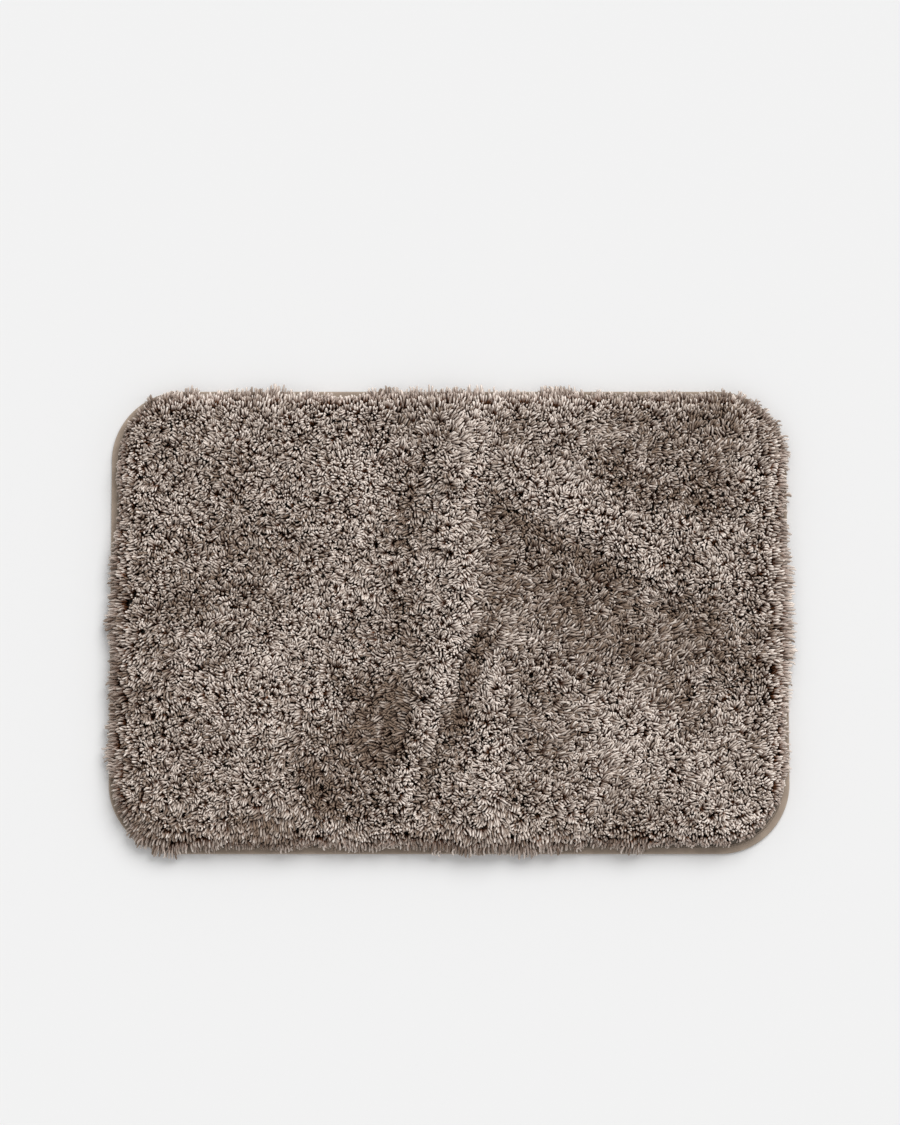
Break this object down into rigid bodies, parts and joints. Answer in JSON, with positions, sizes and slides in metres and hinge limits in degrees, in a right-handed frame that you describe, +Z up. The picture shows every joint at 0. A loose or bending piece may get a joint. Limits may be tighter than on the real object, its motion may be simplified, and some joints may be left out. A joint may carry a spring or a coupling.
{
  "type": "bath mat",
  "caption": "Rectangular shag bath mat with rounded corners: deep twisted-yarn cut pile on a cloth with a folded binding tape and a non-slip rubber coat.",
  "frame": {"origin": "middle of the underside, on the floor that the mat lies on", "axes": "+X along the mat's length, +Y across its width to the far long side, +Z up out of the pile"},
  "size_m": [0.752, 0.515, 0.036],
  "materials": {
    "rubber": "matt latex coat",
    "backing_cloth": "plain woven cloth",
    "binding_tape": "finely ribbed woven tape",
    "thread": "twisted sewing thread",
    "pile": "soft twisted yarn, cut pile"
  },
  "bodies": {
    "root": {"rubber_backing": "rubber", "backing_cloth": "backing_cloth", "binding_tape": "binding_tape", "binding_needle_thread": "thread", "binding_bobbin_thread": "thread", "pile_band_01": "pile", "pile_band_02": "pile", "pile_band_03": "pile", "pile_band_04": "pile", "pile_band_05": "pile", "pile_band_06": "pile", "pile_band_07": "pile", "pile_band_08": "pile", "pile_band_09": "pile", "pile_band_10": "pile", "pile_band_11": "pile", "pile_band_12": "pile", "pile_band_13": "pile", "pile_band_14": "pile", "pile_band_15": "pile", "pile_band_16": "pile", "pile_band_17": "pile", "pile_band_18": "pile", "pile_band_19": "pile", "pile_band_20": "pile", "pile_band_21": "pile", "pile_band_22": "pile", "pile_band_23": "pile", "pile_band_24": "pile"}
  },
  "joints": []
}
